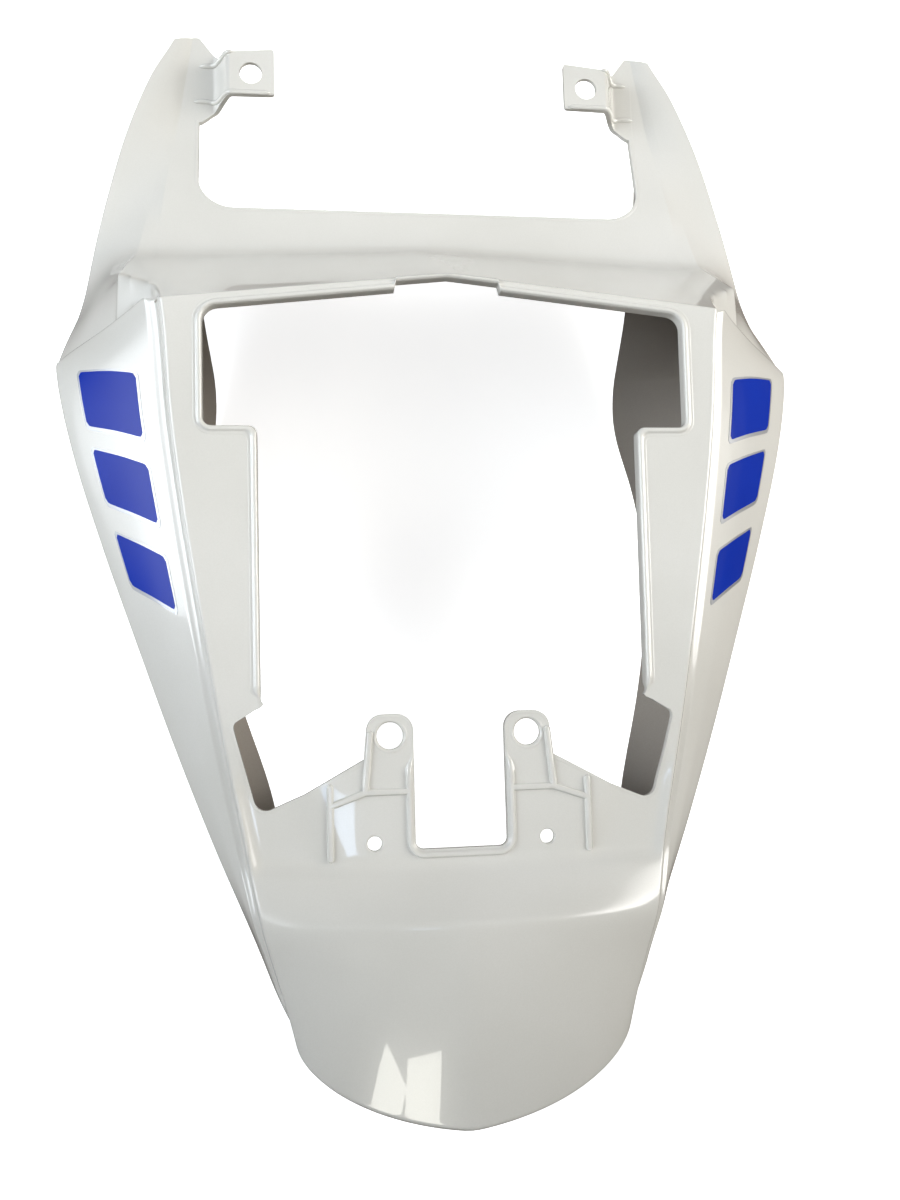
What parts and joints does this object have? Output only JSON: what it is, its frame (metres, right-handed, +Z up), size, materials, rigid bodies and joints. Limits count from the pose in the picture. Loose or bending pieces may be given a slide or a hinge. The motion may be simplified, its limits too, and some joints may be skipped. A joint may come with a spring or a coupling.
{
  "type": "motorcycle rear panel",
  "caption": "One-piece moulded and painted rear body panel that wraps a motorcycle's tail, with a step wall, a deck opening, ears and front tabs",
  "frame": {"origin": "middle of the line between the two ear holes, on the top faces of the ears", "axes": "+X to the motorcycle's right, +Y forward, +Z up, with the deck level"},
  "size_m": [0.4054, 0.599, 0.1612],
  "materials": {
    "paint": "pearl white paint under clear coat",
    "film": "gloss film with a silver edge"
  },
  "bodies": {
    "root": {"rear_panel": "paint", "graphic_left": "film", "graphic_right": "film"}
  },
  "joints": []
}
